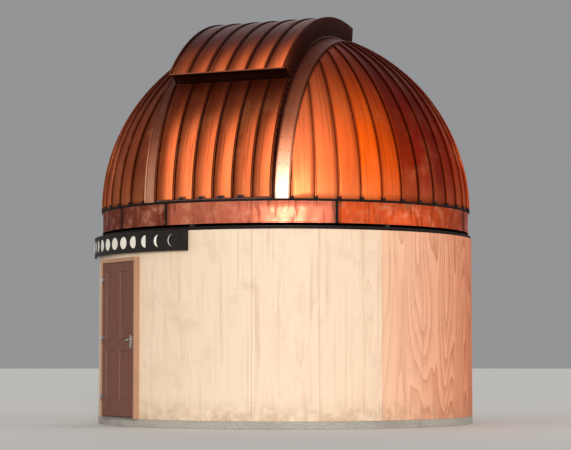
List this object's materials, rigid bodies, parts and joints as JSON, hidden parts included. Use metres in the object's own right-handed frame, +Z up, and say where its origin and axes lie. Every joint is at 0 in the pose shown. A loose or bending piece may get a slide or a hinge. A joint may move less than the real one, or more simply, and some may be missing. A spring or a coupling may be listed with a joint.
{
  "type": "small round observatory with turning dome",
  "caption": "Round observatory building with a turning standing-seam dome, a two-part slit shutter that opens, a skirt band, an entrance door and a bare curved sign board.",
  "frame": {"origin": "centre of the floor slab's underside, on the ground", "axes": "+Z up along the dome's turning axis; -Y out through the entrance door; the slit faces 36 degrees from -Y towards +X at rest"},
  "size_m": [5.1306, 5.1996, 5.543],
  "materials": {
    "slab": "rough concrete",
    "wall": "cream paint",
    "head_plate": "dark stain",
    "door_frame": "paint",
    "door": "paint",
    "hardware": "brushed",
    "threshold": "ribbed",
    "sign": "dark paint",
    "track_steel": "dull zinc",
    "dome_steel": "primer",
    "skirt": "mottled weathered paint",
    "gores": "coppery weathered metal",
    "flashing": "satin metal",
    "shutter": "satin weathered metal"
  },
  "bodies": {
    "building": {"floor_slab": "slab", "wall_panel_1": "wall", "wall_panel_2": "wall", "wall_panel_3": "wall", "wall_panel_4": "wall", "wall_panel_5": "wall", "wall_panel_6": "wall", "wall_panel_7": "wall", "wall_over_door": "wall", "wall_head_plate": "head_plate", "door_frame": "door_frame", "door_threshold": "threshold", "sign_board": "sign", "roller_ring": "track_steel"},
    "door": {"door_leaf": "door", "door_handle_outside": "hardware", "door_handle_inside": "hardware"},
    "dome": {"dome_base_ring": "dome_steel", "skirt_sheet_1": "skirt", "skirt_sheet_2": "skirt", "skirt_sheet_3": "skirt", "skirt_sheet_4": "skirt", "skirt_sheet_5": "skirt", "skirt_sheet_6": "skirt", "skirt_sheet_7": "skirt", "gores_right_1": "gores", "gores_right_2": "gores", "gores_right_3": "gores", "gores_right_4": "gores", "gores_left_1": "gores", "gores_left_2": "gores", "gores_left_3": "gores", "gores_left_4": "gores", "gores_back": "gores", "arch_rail_right": "dome_steel", "arch_rail_left": "dome_steel", "slit_flashing_right": "flashing", "slit_flashing_left": "flashing", "slit_head": "flashing", "slit_sill": "dome_steel"},
    "lower_shutter": {"lower_shutter": "shutter"},
    "upper_shutter": {"upper_shutter": "shutter", "shutter_roller_front_right": "track_steel", "shutter_roller_front_left": "track_steel", "shutter_roller_rear_right": "track_steel", "shutter_roller_rear_left": "track_steel"}
  },
  "joints": [
    {"name": "door_hinge", "type": "hinge", "parent": "building", "child": "door", "pos_m": [-0.455, -2.596, 1.1], "axis": [0, 0, -1], "range_deg": [0, 105]},
    {"name": "dome_turn", "type": "hinge", "parent": "building", "child": "dome", "pos_m": [0, 0, 2.885], "axis": [0, 0, 1], "continuous": true},
    {"name": "lower_shutter_hinge", "type": "hinge", "parent": "dome", "child": "lower_shutter", "pos_m": [1.45183, -1.99827, 2.919], "axis": [0.809, 0.5878, 0], "range_deg": [0, 100]},
    {"name": "upper_shutter_travel", "type": "hinge", "parent": "dome", "child": "upper_shutter", "pos_m": [0, 0, 2.885], "axis": [-0.809, -0.5878, 0], "range_deg": [0, 54.5]}
  ]
}
